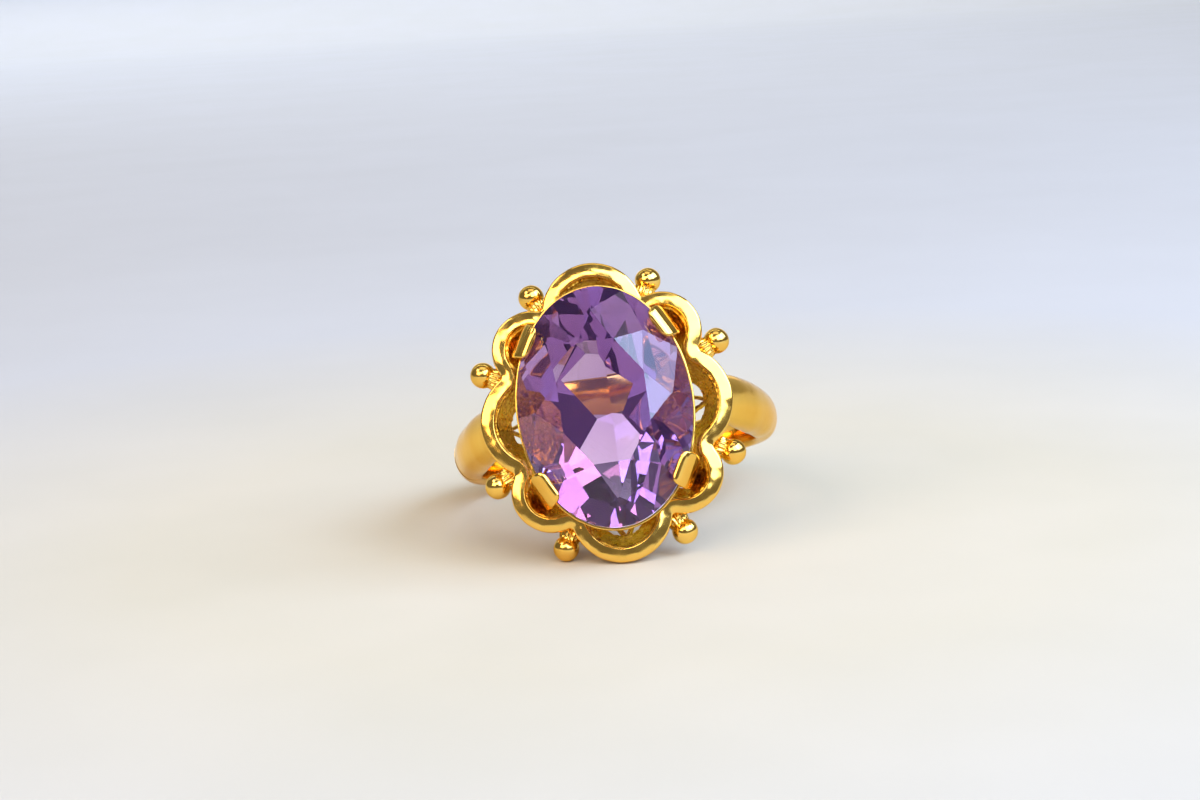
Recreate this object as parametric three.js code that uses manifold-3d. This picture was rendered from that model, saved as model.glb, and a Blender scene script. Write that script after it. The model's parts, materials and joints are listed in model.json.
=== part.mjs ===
// A yellow gold cocktail ring: a claw-set oval stone in a scalloped, beaded basket on a
// tapering band. It lies on its side, head to the front, as it rests when put down.
//
// The ring is drawn in its own frame: x across the finger, y along the finger, z up through
// the stone, origin on the finger's axis. The last lines lay that frame down.
import * as THREE from 'three';
import { mergeVertices } from 'three/addons/utils/BufferGeometryUtils.js';
import { ConvexGeometry } from 'three/addons/geometries/ConvexGeometry.js';
import Module from 'manifold-3d';

const wasm = await Module();
wasm.setup();

// ---------------------------------------------------------------- driving dimensions, in mm

// Pieces that touch stop this far short of each other.
const GAP = 0.03;

const stone = {
  halfWidth: 5.0,
  halfLength: 7.0,
  girdleHeight: 15.1,
  girdleThickness: 0.36,
  crown: 2.1,
  pavilion: 5.2,
  tableShare: 0.6,
  starShare: 0.82,
  starHeight: 1.22,
  cornerShare: 0.55,
  cornerDepth: 3.12,
  keel: 1.5,
};

// The basket's outline has four kinds of arc: top and bottom lobes, side lobes, corner lobes,
// and the small hollow arcs that join them. Radii are those of the rim's centre line.
const scallop = {
  endRadius: 2.56,
  endReach: 8.46,
  sideRadius: 2.88,
  sideReach: 7.0,
  cornerRadius: 1.92,
  cornerAt: [3.86, 4.23],
  notchRadius: 0.69,
};

const rim = { width: 0.85, height: 0.6, top: stone.girdleHeight - 2.0, bevel: 0.14 };
const wall = { thickness: 0.55, height: 1.5, taper: 0.75, inset: 0.255 };
const rail = { halfWidth: 4.5, halfLength: 6.1, width: 0.8, height: 0.7, edge: 0.2, bottom: 9.0 };
const fretwork = { points: 24, thickness: 0.38, strutHalf: 0.3, inset: 1.0, clearance: 0.32 };
const collet = { lip: 0.14, width: 0.5, height: 0.5, below: 0.22, seatWidth: 0.35, seatDepth: 0.52 };

// Stations run from the claw's foot in the wall to its tip on the crown. Each gives the inner
// reach and height, the outer reach and height, all from the girdle, and the share of width.
const claw = {
  parametric: 37.6,
  halfWidth: 1.05,
  stations: [
    [0.3, -3.9, 0.72, -3.9, 0.48],
    [0.27, -2.6, 0.72, -2.6, 0.57],
    [0.2, -1.2, 0.72, -1.1, 0.9],
    [0.05, -0.2, 0.6, -0.3, 1],
    [0.04, 0.32, 0.42, 0.42, 1],
    [-0.16, 0.6, 0.08, 0.92, 0.97],
    [-0.42, 0.84, -0.3, 1.16, 0.86],
  ],
};

const bead = {
  radius: 0.76,
  stemRadius: 0.34,
  collarRadius: 0.5,
  collarHeight: 0.15,
  collarSlope: 0.1,
  neckRadius: 0.44,
  stemLength: 2.1,
  drop: 1.25,
  ends: [3.5, 7.5],
  sides: [6.95, 3.33],
};

const finger = { radius: 8.75 };
const band = {
  backWidth: 2.0,
  sideWidth: 3.1,
  backThickness: 1.3,
  sideThickness: 1.65,
  halfSweep: 98,
};
// Half-round section, from the finger side out: [share of thickness, share of width].
const halfRound = [
  [0, 0.44],
  [0.12, 0.5],
  [0.4, 0.5],
  [0.78, 0.37],
  [1, 0.14],
];

// Bends and ends are points of the side view: across the finger, and up towards the stone.
const shoulder = {
  midWidth: 3.2,
  midShare: 0.6,
  topWidth: 2.7,
  leave: 3.6,
  innerBend: [7.25, 8.0],
  innerEnd: [6.45, 11.8],
  outerBend: [8.9, 8.4],
  outerEnd: [7.3, 11.9],
};

// ---------------------------------------------------------------- metal and stone

const gold = { color: 0xd8a23c, roughness: 0.22, metalness: 1.0 };
const amethyst = { color: 0x7c4fa3, roughness: 0.05, metalness: 0.0 };

// ---------------------------------------------------------------- solids

const degrees = (angle) => (angle * Math.PI) / 180;
const mix = (from, to, share) => from + (to - from) * share;

function signedVolume(points, index) {
  let volume = 0;
  for (let i = 0; i < index.length; i += 3) {
    const [a, b, c] = [points[index[i]], points[index[i + 1]], points[index[i + 2]]];
    volume += a.dot(b.clone().cross(c)) / 6;
  }
  return volume;
}

function geometryOf(points, index) {
  if (signedVolume(points, index) < 0) {
    index.reverse();
  }
  const geometry = new THREE.BufferGeometry().setFromPoints(points);
  geometry.setIndex(index);
  geometry.computeVertexNormals();
  return geometry;
}

// Skins a row of matching sections. A closed row meets itself; an open one gets flat ends.
function skin(sections, closed) {
  const corners = sections[0].length;
  const spans = closed ? sections.length : sections.length - 1;
  const index = [];
  for (let i = 0; i < spans; i++) {
    const here = i * corners;
    const next = ((i + 1) % sections.length) * corners;
    for (let j = 0; j < corners; j++) {
      const k = (j + 1) % corners;
      index.push(here + j, here + k, next + k, here + j, next + k, next + j);
    }
  }
  if (!closed) {
    const last = (sections.length - 1) * corners;
    for (let j = 1; j < corners - 1; j++) {
      index.push(0, j + 1, j);
      index.push(last, last + j, last + j + 1);
    }
  }
  return geometryOf(sections.flat(), index);
}

// Sweeps a profile of [offset, height] points around an outline given as a function of offset.
function hoop(outline, profile) {
  const tracks = profile.map(([offset]) => outline(offset));
  const sections = tracks[0].map((_, station) =>
    profile.map(([, height], j) => {
      const at = tracks[j][station];
      return new THREE.Vector3(at.x, at.y, height);
    }),
  );
  return skin(sections, true);
}

function toSolid(geometry) {
  const bare = geometry.clone();
  bare.deleteAttribute('normal');
  bare.deleteAttribute('uv');
  const merged = mergeVertices(bare, 1e-5);
  return new wasm.Manifold(
    new wasm.Mesh({
      numProp: 3,
      vertProperties: new Float32Array(merged.attributes.position.array),
      triVerts: new Uint32Array(merged.index.array),
    }),
  );
}

function fromSolid(solid) {
  const mesh = solid.getMesh();
  const geometry = new THREE.BufferGeometry();
  geometry.setAttribute('position', new THREE.BufferAttribute(mesh.vertProperties, 3));
  geometry.setIndex(new THREE.BufferAttribute(mesh.triVerts, 1));
  geometry.computeVertexNormals();
  return geometry;
}

function cutAway(geometry, cutters) {
  return fromSolid(cutters.reduce((left, cutter) => left.subtract(cutter), toSolid(geometry)));
}

// ---------------------------------------------------------------- outlines

// Centre of the circle that touches two lobes from outside, in the hollow between them.
function notchBetween(a, b) {
  const reachA = a.radius + scallop.notchRadius;
  const reachB = b.radius + scallop.notchRadius;
  const across = b.centre.clone().sub(a.centre);
  const span = across.length();
  const along = (reachA ** 2 - reachB ** 2 + span ** 2) / (2 * span);
  const out = Math.sqrt(reachA ** 2 - along ** 2);
  across.normalize();
  const outward = new THREE.Vector2(across.y, -across.x);
  return a.centre.clone().addScaledVector(across, along).addScaledVector(outward, out);
}

function lobes() {
  const [cornerX, cornerY] = scallop.cornerAt;
  const side = scallop.sideReach - scallop.sideRadius;
  const end = scallop.endReach - scallop.endRadius;
  const make = (x, y, radius, steps) => ({ centre: new THREE.Vector2(x, y), radius, steps });
  return [
    make(side, 0, scallop.sideRadius, 12),
    make(cornerX, cornerY, scallop.cornerRadius, 9),
    make(0, end, scallop.endRadius, 13),
    make(-cornerX, cornerY, scallop.cornerRadius, 9),
    make(-side, 0, scallop.sideRadius, 12),
    make(-cornerX, -cornerY, scallop.cornerRadius, 9),
    make(0, -end, scallop.endRadius, 13),
    make(cornerX, -cornerY, scallop.cornerRadius, 9),
  ];
}

const NOTCH_STEPS = 5;

function arc(centre, radius, from, to, steps) {
  const points = [];
  for (let i = 0; i < steps; i++) {
    const angle = mix(from, to, i / steps);
    points.push(new THREE.Vector2(
      centre.x + radius * Math.cos(angle),
      centre.y + radius * Math.sin(angle),
    ));
  }
  return points;
}

function bearing(from, to) {
  return Math.atan2(to.y - from.y, to.x - from.x);
}

// The scalloped outline, moved outwards by offset.
function scallops(offset) {
  const ring = lobes();
  const turn = 2 * Math.PI;
  const points = [];
  ring.forEach((lobe, i) => {
    const before = ring[(i + ring.length - 1) % ring.length];
    const after = ring[(i + 1) % ring.length];
    const last = notchBetween(before, lobe);
    const next = notchBetween(lobe, after);
    const start = bearing(lobe.centre, last);
    const sweep = (bearing(lobe.centre, next) - start + turn) % turn;
    points.push(...arc(lobe.centre, lobe.radius + offset, start, start + sweep, lobe.steps));
    const enter = bearing(next, lobe.centre);
    const hollow = (enter - bearing(next, after.centre) + turn) % turn;
    points.push(...arc(next, scallop.notchRadius - offset, enter, enter - hollow, NOTCH_STEPS));
  });
  return points;
}

const OVAL_STEPS = 64;

// An oval outline, moved outwards by offset.
function oval(halfWidth, halfLength) {
  return (offset) => {
    const points = [];
    for (let i = 0; i < OVAL_STEPS; i++) {
      const angle = (2 * Math.PI * i) / OVAL_STEPS;
      const normal = new THREE.Vector2(Math.cos(angle) / halfWidth, Math.sin(angle) / halfLength);
      normal.normalize();
      points.push(new THREE.Vector2(
        halfWidth * Math.cos(angle) + normal.x * offset,
        halfLength * Math.sin(angle) + normal.y * offset,
      ));
    }
    return points;
  };
}

// ---------------------------------------------------------------- the head

// Eight-fold oval mixed cut: table, star corners, girdle, pavilion corners and a short keel.
function makeStone() {
  const { halfWidth, halfLength, girdleHeight, girdleThickness } = stone;
  const points = [];
  const ringOf = (count, phase, share, height) => {
    for (let i = 0; i < count; i++) {
      const angle = degrees(phase) + (2 * Math.PI * i) / count;
      points.push(new THREE.Vector3(
        halfWidth * share * Math.cos(angle),
        halfLength * share * Math.sin(angle),
        girdleHeight + height,
      ));
    }
  };
  const halfFacet = 22.5;
  ringOf(8, halfFacet, stone.tableShare, stone.crown);
  ringOf(8, 0, stone.starShare, stone.starHeight);
  ringOf(32, 0, 1, girdleThickness / 2);
  ringOf(32, 0, 1, -girdleThickness / 2);
  ringOf(8, halfFacet, stone.cornerShare, -stone.cornerDepth);
  points.push(new THREE.Vector3(0, stone.keel, girdleHeight - stone.pavilion));
  points.push(new THREE.Vector3(0, -stone.keel, girdleHeight - stone.pavilion));
  return new ConvexGeometry(points);
}

// Rounded-over strip that forms the basket's bright top edge.
function makeRim(grow = 0) {
  const half = rim.width / 2 + grow;
  const top = rim.top + grow;
  const bottom = rim.top - rim.height - grow;
  return hoop(scallops, [
    [-half, bottom],
    [half, bottom],
    [half, top - rim.bevel],
    [half - rim.bevel, top],
    [rim.bevel - half, top],
    [-half, top - rim.bevel],
  ]);
}

// Sand-cast wall under the rim, leaning in towards the finger.
function makeWall(grow = 0) {
  const half = wall.thickness / 2 + grow;
  const top = rim.top - rim.height - GAP + grow;
  const bottom = top - wall.height - 2 * grow;
  return hoop(scallops, [
    [-wall.inset - wall.taper - half, bottom],
    [-wall.inset - wall.taper + half, bottom],
    [-wall.inset + half, top],
    [-wall.inset - half, top],
  ]);
}

// Oval rail at the foot of the basket, just over the finger.
function makeRail() {
  const half = rail.width / 2;
  const top = rail.bottom + rail.height;
  const middle = rail.bottom + rail.height / 2;
  return hoop(oval(rail.halfWidth, rail.halfLength), [
    [rail.edge - half, rail.bottom],
    [half - rail.edge, rail.bottom],
    [half, middle],
    [half - rail.edge, top],
    [rail.edge - half, top],
    [-half, middle],
  ]);
}

// Point a share of the way round an outline, by length.
function pointAlong(outline, share) {
  const lengths = outline.map((point, i) => point.distanceTo(outline[(i + 1) % outline.length]));
  let left = share * lengths.reduce((sum, length) => sum + length, 0);
  let i = 0;
  while (left > lengths[i]) {
    left -= lengths[i];
    i += 1;
  }
  return outline[i].clone().lerp(outline[(i + 1) % outline.length], left / lengths[i]);
}

// Zigzag strip that joins the wall to the rail, pierced by a row of triangles.
function makeFretwork() {
  const wallFoot = scallops(-fretwork.inset);
  const { strutHalf, thickness } = fretwork;
  const high = rim.top - rim.height - wall.height - 2 * GAP - fretwork.clearance;
  const low = rail.bottom + rail.height + GAP + fretwork.clearance;
  const sections = [];
  for (let i = 0; i < 2 * fretwork.points; i++) {
    const outer = pointAlong(wallFoot, i / (2 * fretwork.points));
    const angle = Math.atan2(outer.y / rail.halfLength, outer.x / rail.halfWidth);
    const inner = new THREE.Vector2(
      rail.halfWidth * Math.cos(angle),
      rail.halfLength * Math.sin(angle),
    );
    const up = new THREE.Vector3(outer.x - inner.x, outer.y - inner.y, high - low).normalize();
    const along = new THREE.Vector3(-outer.y, outer.x, 0).normalize();
    const across = new THREE.Vector3().crossVectors(up, along).normalize();
    const centre = i % 2
      ? new THREE.Vector3(inner.x, inner.y, low)
      : new THREE.Vector3(outer.x, outer.y, high);
    const corner = (rise, side) => centre.clone()
      .addScaledVector(up, rise * strutHalf)
      .addScaledVector(across, side * thickness / 2);
    sections.push([corner(-1, -1), corner(-1, 1), corner(1, 1), corner(1, -1)]);
  }
  return skin(sections, true);
}

// Seat ring that the girdle sits in; its lip shows as a thin line beside the stone.
function makeCollet(grow = 0) {
  const outer = collet.lip + grow;
  const inner = collet.lip - collet.width - grow;
  const top = stone.girdleHeight - collet.below + grow;
  const bottom = top - collet.height - 2 * grow;
  return hoop(oval(stone.halfWidth, stone.halfLength), [
    [inner + collet.width / 2, bottom - collet.seatDepth / 2],
    [outer, bottom],
    [outer, top],
    [inner + collet.seatWidth, top],
    [inner, top - collet.seatDepth],
    [inner, bottom - collet.seatDepth / 2],
  ]);
}

// One claw: a leg from the wall that widens to the girdle and folds over the crown.
function makeClaw(signX, signY) {
  const angle = degrees(claw.parametric);
  const at = new THREE.Vector3(
    signX * stone.halfWidth * Math.cos(angle),
    signY * stone.halfLength * Math.sin(angle),
    stone.girdleHeight,
  );
  const out = new THREE.Vector3(
    signX * Math.cos(angle) / stone.halfWidth,
    signY * Math.sin(angle) / stone.halfLength,
    0,
  ).normalize();
  const along = new THREE.Vector3(-out.y, out.x, 0);
  const up = new THREE.Vector3(0, 0, 1);
  const sections = claw.stations.map(([innerReach, innerRise, outerReach, outerRise, share]) => {
    const half = share * claw.halfWidth;
    const corner = (reach, rise, side) => at.clone()
      .addScaledVector(out, reach)
      .addScaledVector(up, rise)
      .addScaledVector(along, side * half);
    return [
      corner(innerReach, innerRise, -1),
      corner(innerReach, innerRise, 1),
      corner(outerReach, outerRise, 1),
      corner(outerReach, outerRise, -1),
    ];
  });
  return skin(sections, false);
}

// Ball on a collared stem, its stem along -y, to be trimmed to the basket behind it.
function makeBead() {
  const { radius, stemRadius, collarRadius, collarHeight, collarSlope, stemLength } = bead;
  const profile = [
    [0, -stemLength],
    [stemRadius, -stemLength],
    [stemRadius, -radius - collarHeight - collarSlope],
    [collarRadius, -radius - collarHeight],
    [collarRadius, -radius],
  ].map(([x, y]) => new THREE.Vector2(x, y));
  const start = Math.asin(bead.neckRadius / radius);
  const steps = 6;
  for (let i = 0; i <= steps; i++) {
    const angle = mix(start, Math.PI, i / steps);
    profile.push(new THREE.Vector2(radius * Math.sin(angle), -radius * Math.cos(angle)));
  }
  profile[profile.length - 1].x = 0;
  return new THREE.LatheGeometry(profile, 12);
}

function placeBead(geometry, x, y) {
  const stem = Math.hypot(x, y);
  const turn = Math.atan2(-x / stem, y / stem);
  const matrix = new THREE.Matrix4().makeRotationZ(turn);
  matrix.setPosition(x, y, rim.top - bead.drop);
  return geometry.clone().applyMatrix4(matrix);
}

// ---------------------------------------------------------------- the band

// Half-round section between an inner and an outer point of the band's side view.
function bandSection(inner, outer, width) {
  const outline = [
    ...halfRound,
    ...halfRound.slice().reverse().map(([share, half]) => [share, -half]),
  ];
  return outline.map(([share, half]) => new THREE.Vector3(
    mix(inner.x, outer.x, share),
    half * width,
    mix(inner.y, outer.y, share),
  ));
}

// The band's side view at an angle from its back: a point at radius from the finger's axis.
function around(angle, radius) {
  return new THREE.Vector2(radius * Math.sin(angle), -radius * Math.cos(angle));
}

function makeBand() {
  const sections = [];
  const steps = 40;
  for (let i = 0; i <= steps; i++) {
    const angle = degrees(mix(-band.halfSweep, band.halfSweep, i / steps));
    const share = Math.sin(Math.min(Math.abs(angle), Math.PI / 2)) ** 2;
    const thickness = mix(band.backThickness, band.sideThickness, share);
    const width = mix(band.backWidth, band.sideWidth, share);
    sections.push(bandSection(
      around(angle, finger.radius),
      around(angle, finger.radius + thickness),
      width,
    ));
  }
  return skin(sections, false);
}

// One shoulder: runs on from the band, leaves the finger's circle and leans on the wall.
function makeShoulder(sign) {
  const start = degrees(band.halfSweep) + GAP / finger.radius;
  const heading = new THREE.Vector2(Math.cos(start), Math.sin(start));
  const route = (radius, bend, end) => {
    const first = around(start, radius);
    const second = first.clone().addScaledVector(heading, shoulder.leave);
    return new THREE.CubicBezierCurve(
      first,
      second,
      new THREE.Vector2(...bend),
      new THREE.Vector2(...end),
    );
  };
  const inside = route(finger.radius, shoulder.innerBend, shoulder.innerEnd);
  const outside = route(
    finger.radius + band.sideThickness,
    shoulder.outerBend,
    shoulder.outerEnd,
  );
  const { midWidth, midShare, topWidth } = shoulder;
  const sections = [];
  const steps = 12;
  for (let i = 0; i <= steps; i++) {
    const share = i / steps;
    const width = share < midShare
      ? mix(band.sideWidth, midWidth, Math.sin((share / midShare) * Math.PI / 2))
      : mix(midWidth, topWidth, ((share - midShare) / (1 - midShare)) ** 2);
    const inner = inside.getPoint(share);
    const outer = outside.getPoint(share);
    inner.x *= sign;
    outer.x *= sign;
    sections.push(bandSection(inner, outer, width));
  }
  return skin(sections, false);
}

// ---------------------------------------------------------------- assembly

const ring = new THREE.Group();

function add(name, geometry, finish) {
  const mesh = new THREE.Mesh(geometry, new THREE.MeshStandardMaterial(finish));
  mesh.name = name;
  ring.add(mesh);
  return mesh;
}

const grownRim = toSolid(makeRim(GAP));
const grownWall = toSolid(makeWall(GAP));
const grownCollet = toSolid(makeCollet(GAP));

add('amethyst', makeStone(), amethyst);
add('stone_seat', makeCollet(), gold);
const rimMesh = add('scalloped_rim', makeRim(), gold);
add('basket_wall', makeWall(), gold);
add('pierced_gallery', makeFretwork(), gold);
add('base_rail', makeRail(), gold);

const corners = [
  ['claw_upper_right', 1, 1],
  ['claw_lower_right', 1, -1],
  ['claw_lower_left', -1, -1],
  ['claw_upper_left', -1, 1],
];
for (const [name, signX, signY] of corners) {
  add(name, cutAway(makeClaw(signX, signY), [grownCollet, grownWall]), gold);
}

const beadShape = makeBead();
const beadPlaces = [
  ['bead_top_right', 1, 1, bead.ends],
  ['bead_right_upper', 1, 1, bead.sides],
  ['bead_right_lower', 1, -1, bead.sides],
  ['bead_bottom_right', 1, -1, bead.ends],
  ['bead_bottom_left', -1, -1, bead.ends],
  ['bead_left_lower', -1, -1, bead.sides],
  ['bead_left_upper', -1, 1, bead.sides],
  ['bead_top_left', -1, 1, bead.ends],
];
const beads = new Map();
for (const [name, signX, signY, [x, y]] of beadPlaces) {
  const trimmed = cutAway(placeBead(beadShape, signX * x, signY * y), [grownRim, grownWall]);
  beads.set(name, add(name, trimmed, gold));
}

for (const [name, sign] of [['shoulder_right', 1], ['shoulder_left', -1]]) {
  add(name, cutAway(makeShoulder(sign), [grownRim, grownWall]), gold);
}
const bandMesh = add('band', makeBand(), gold);

// ---------------------------------------------------------------- laying it down

// Lean back by tilt from standing on the rim, and turn by roll about the line through the stone.
function layDown(tilt, roll) {
  ring.rotation.set(Math.PI / 2 - tilt, 0, roll);
  ring.updateMatrixWorld(true);
}

function lowest(mesh) {
  const { position } = mesh.geometry.attributes;
  const point = new THREE.Vector3();
  let low = Infinity;
  for (let i = 0; i < position.count; i++) {
    low = Math.min(low, point.fromBufferAttribute(position, i).applyMatrix4(mesh.matrixWorld).z);
  }
  return low;
}

// Angle between low and high at which a rising difference passes zero.
function balance(low, high, difference) {
  const halvings = 40;
  for (let i = 0; i < halvings; i++) {
    const middle = (low + high) / 2;
    if (difference(middle) > 0) {
      high = middle;
    } else {
      low = middle;
    }
  }
  return (low + high) / 2;
}

// The ring rests on its bottom lobe, the bead to the left of it and the back of the band, so
// tilt and roll are turned in alternation until all three are level.
const restingBead = beads.get('bead_bottom_left');
const restingPasses = 12;
let tilt = degrees(20);
let roll = degrees(6);
for (let pass = 0; pass < restingPasses; pass++) {
  tilt = balance(0, degrees(45), (angle) => {
    layDown(angle, roll);
    return lowest(rimMesh) - lowest(bandMesh);
  });
  roll = balance(0, degrees(20), (angle) => {
    layDown(tilt, angle);
    return lowest(rimMesh) - lowest(restingBead);
  });
}
layDown(tilt, roll);

const object = new THREE.Group();
object.add(ring);
const box = new THREE.Box3().setFromObject(ring, true);
const centre = box.getCenter(new THREE.Vector3());
ring.position.set(-centre.x, -centre.y, -box.min.z);
object.updateMatrixWorld(true);

export default object;
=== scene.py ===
"""A yellow gold cocktail ring with an oval amethyst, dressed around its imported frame.

Every piece is drawn in the ring's own frame, in millimetres: x across the finger, y along it,
z up through the stone, from the finger's axis. place() lays that frame down where the CAD lies.
"""
import json
import math

import bmesh
import bpy
import numpy as np
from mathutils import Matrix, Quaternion, Vector, noise


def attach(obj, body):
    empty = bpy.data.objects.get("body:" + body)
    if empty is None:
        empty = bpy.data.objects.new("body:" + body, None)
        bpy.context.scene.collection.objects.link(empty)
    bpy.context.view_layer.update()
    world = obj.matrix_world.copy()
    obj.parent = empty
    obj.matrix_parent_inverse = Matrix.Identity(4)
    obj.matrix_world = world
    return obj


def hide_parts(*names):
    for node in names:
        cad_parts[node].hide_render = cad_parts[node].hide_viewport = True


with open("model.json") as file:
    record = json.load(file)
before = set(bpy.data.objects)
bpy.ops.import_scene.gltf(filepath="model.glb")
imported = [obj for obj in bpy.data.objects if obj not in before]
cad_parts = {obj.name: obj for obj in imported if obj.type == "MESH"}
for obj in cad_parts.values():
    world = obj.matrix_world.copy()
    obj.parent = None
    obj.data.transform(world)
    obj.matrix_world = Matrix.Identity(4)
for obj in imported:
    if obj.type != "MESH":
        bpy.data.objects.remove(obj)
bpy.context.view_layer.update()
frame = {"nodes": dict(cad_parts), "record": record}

MM = 0.001

# ---------------------------------------------------------------- driving dimensions, in mm

GIRDLE_HEIGHT = 15.1
GIRDLE_THICKNESS = 0.36

# Radii of the arcs of the rim's centre line, and the middle of a corner lobe.
END_RADIUS = 2.56
SIDE_RADIUS = 2.88
CORNER_RADIUS = 1.92
CORNER_AT = (3.86, 4.23)
NOTCH_RADIUS = 0.69

RIM_WIDTH = 0.85
RAIL_MIDDLE = 4.5
FRET_POINTS = 24
CLAW_ANGLE = math.radians(37.6)
CLAW_HALF_WIDTH = 1.05
BEAD_RADIUS = 0.76
FINGER_RADIUS = 8.75

# The band runs this far up each side from its back. It is given as (width, thickness).
BAND_SWEEP = math.radians(98)
BAND_BACK = (2.0, 1.3)
BAND_SIDE = (3.1, 1.65)

# The shoulder's width where it is widest, that place as a share of its length, and its width at
# the wall. Its inner and outer routes are curves: they carry on along the band for a handle's
# length and end with the two control points (x, z).
SHOULDER_WIDEST = 3.2
SHOULDER_WIDEST_AT = 0.6
SHOULDER_END = 2.7
SHOULDER_HANDLE = 3.6
SHOULDER_INSIDE = ((7.25, 8.0), (6.45, 11.8))
SHOULDER_OUTSIDE = ((8.9, 8.4), (7.3, 11.9))


# ---------------------------------------------------------------- the ring's own frame

def ring_frame():
    """Origin in metres and the rows across, along and up, read from the stone's node."""
    up = Vector(frame["record"]["mounts"][0]["axis"]).normalized()
    points = np.array([v.co for v in frame["nodes"]["amethyst"].data.vertices])
    spans = np.linalg.norm(points[:, None] - points[None], axis=2)
    start, far = (Vector(points[i]) for i in np.unravel_index(spans.argmax(), spans.shape))
    along = (start - far) - up * (start - far).dot(up)
    along.normalize()
    if along.z < 0:
        along.negate()
    across = along.cross(up)
    origin = (start + far) / 2 - up * GIRDLE_HEIGHT * MM
    return np.array(origin), np.array([across, along, up])


ORIGIN, AXES = ring_frame()


def place(points):
    """Points of the ring's own frame, in mm, as world points in metres."""
    return np.asarray(points, float) * MM @ AXES + ORIGIN


def local_points(node):
    """Vertices of a CAD node in the ring's own frame, in mm."""
    world = np.array([v.co for v in frame["nodes"][node].data.vertices])
    return (world - ORIGIN) @ AXES.T / MM


def local_box(node):
    """Lowest and highest corner of a CAD node in the ring's own frame, in mm."""
    points = local_points(node)
    return points.min(0), points.max(0)


STONE_LOW, STONE_HIGH = local_box("amethyst")
RIM_LOW, RIM_HIGH = local_box("scalloped_rim")
WALL_LOW, WALL_HIGH = local_box("basket_wall")
RAIL_LOW, RAIL_HIGH = local_box("base_rail")
SEAT_LOW, SEAT_HIGH = local_box("stone_seat")

HALF_WIDTH = STONE_HIGH[0]
HALF_LENGTH = STONE_HIGH[1]
CROWN = STONE_HIGH[2] - GIRDLE_HEIGHT
PAVILION = GIRDLE_HEIGHT - STONE_LOW[2]
SIDE_REACH = RIM_HIGH[0] - RIM_WIDTH / 2
END_REACH = RIM_HIGH[1] - RIM_WIDTH / 2


# ---------------------------------------------------------------- making meshes

def mix(start, end, share):
    """Value a share of the way from start to end."""
    return start + (end - start) * share


def smoothstep(share):
    """Eases from 0 to 1, and stays there outside that range."""
    share = min(max(share, 0.0), 1.0)
    return share * share * (3 - 2 * share)


def squared(angle, squareness):
    """Cosine and sine, pushed out towards a square; 1 leaves the circle as it is."""
    c, s = math.cos(angle), math.sin(angle)
    return (math.copysign(abs(c) ** squareness, c), math.copysign(abs(s) ** squareness, s))


def quads(rows, columns, close_rows, close_columns):
    """Quads over a grid of points numbered row by row."""
    faces = []
    for i in range(rows if close_rows else rows - 1):
        for j in range(columns if close_columns else columns - 1):
            here, after = i * columns, (i + 1) % rows * columns
            k = (j + 1) % columns
            faces.append((here + j, here + k, after + k, after + j))
    return faces


def mesh_of(name, points, faces):
    """A bmesh from points in mm, with its faces turned outwards."""
    mesh = bpy.data.meshes.new(name)
    mesh.from_pydata([tuple(p) for p in points], [], faces)
    bm = bmesh.new()
    bm.from_mesh(mesh)
    bpy.data.meshes.remove(mesh)
    bmesh.ops.recalc_face_normals(bm, faces=bm.faces)
    return bm


def sweep(name, sections):
    """Skins a row of closed sections and caps both ends."""
    columns = len(sections[0])
    faces = quads(len(sections), columns, False, True)
    last = (len(sections) - 1) * columns
    faces.append(tuple(range(columns)))
    faces.append(tuple(range(last, last + columns)))
    return mesh_of(name, [p for section in sections for p in section], faces)


def roughen(bm, amplitude, scale, seed, where=lambda co: 1.0):
    """Moves every vertex along its normal by noise, amplitude in mm and scale in bumps per mm."""
    bm.normal_update()
    shift = Vector((seed * 7.1, seed * 3.7, seed * 5.3))
    moves = []
    for vertex in bm.verts:
        level = noise.noise(vertex.co * scale + shift)
        moves.append(vertex.normal * (level * amplitude * where(vertex.co)))
    for vertex, move in zip(bm.verts, moves):
        vertex.co += move


def soften(bm, sharp_angle):
    """Smooth shading, with edges sharper than the angle left crisp."""
    for face in bm.faces:
        face.smooth = True
    for edge in bm.edges:
        if len(edge.link_faces) == 2:
            edge.smooth = edge.calc_face_angle(0) < sharp_angle


def piece(name, bm, materials, nodes, sharp_angle=math.radians(40)):
    """Turns a bmesh in mm into a piece that rides on the ring and replaces CAD nodes."""
    if sharp_angle:
        soften(bm, sharp_angle)
    world = place([v.co for v in bm.verts])
    for vertex, co in zip(bm.verts, world):
        vertex.co = co
    mesh = bpy.data.meshes.new(name)
    bm.to_mesh(mesh)
    bm.free()
    for material in materials:
        mesh.materials.append(material)
    made = bpy.data.objects.new(name, mesh)
    bpy.context.scene.collection.objects.link(made)
    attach(made, "root")
    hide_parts(*nodes)


def rounded(corners, radii, steps=5):
    """A closed outline whose corners are replaced by curves that start a radius away from them.

    The radius is one number for all corners, or a list with one for each. A curve takes up no
    more than a fixed share of the sides beside it.
    """
    if not isinstance(radii, list):
        radii = [radii] * len(corners)
    most = 0.45
    corners = [Vector(c) for c in corners]
    points = []
    for i, (corner, radius) in enumerate(zip(corners, radii)):
        before, after = corners[i - 1], corners[(i + 1) % len(corners)]
        reach = min(radius, (corner - before).length * most, (corner - after).length * most)
        start = corner + (before - corner).normalized() * reach
        end = corner + (after - corner).normalized() * reach
        for step in range(steps + 1):
            share = step / steps
            points.append(start * (1 - share) ** 2 + corner * 2 * share * (1 - share)
                          + end * share ** 2)
    return points


def densify(outline, longest):
    """Adds points along the straight stretches of a closed outline."""
    points = []
    for i, point in enumerate(outline):
        after = outline[(i + 1) % len(outline)]
        count = max(1, math.ceil((after - point).length / longest))
        points += [point.lerp(after, step / count) for step in range(count)]
    return points


# ---------------------------------------------------------------- outlines

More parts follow.
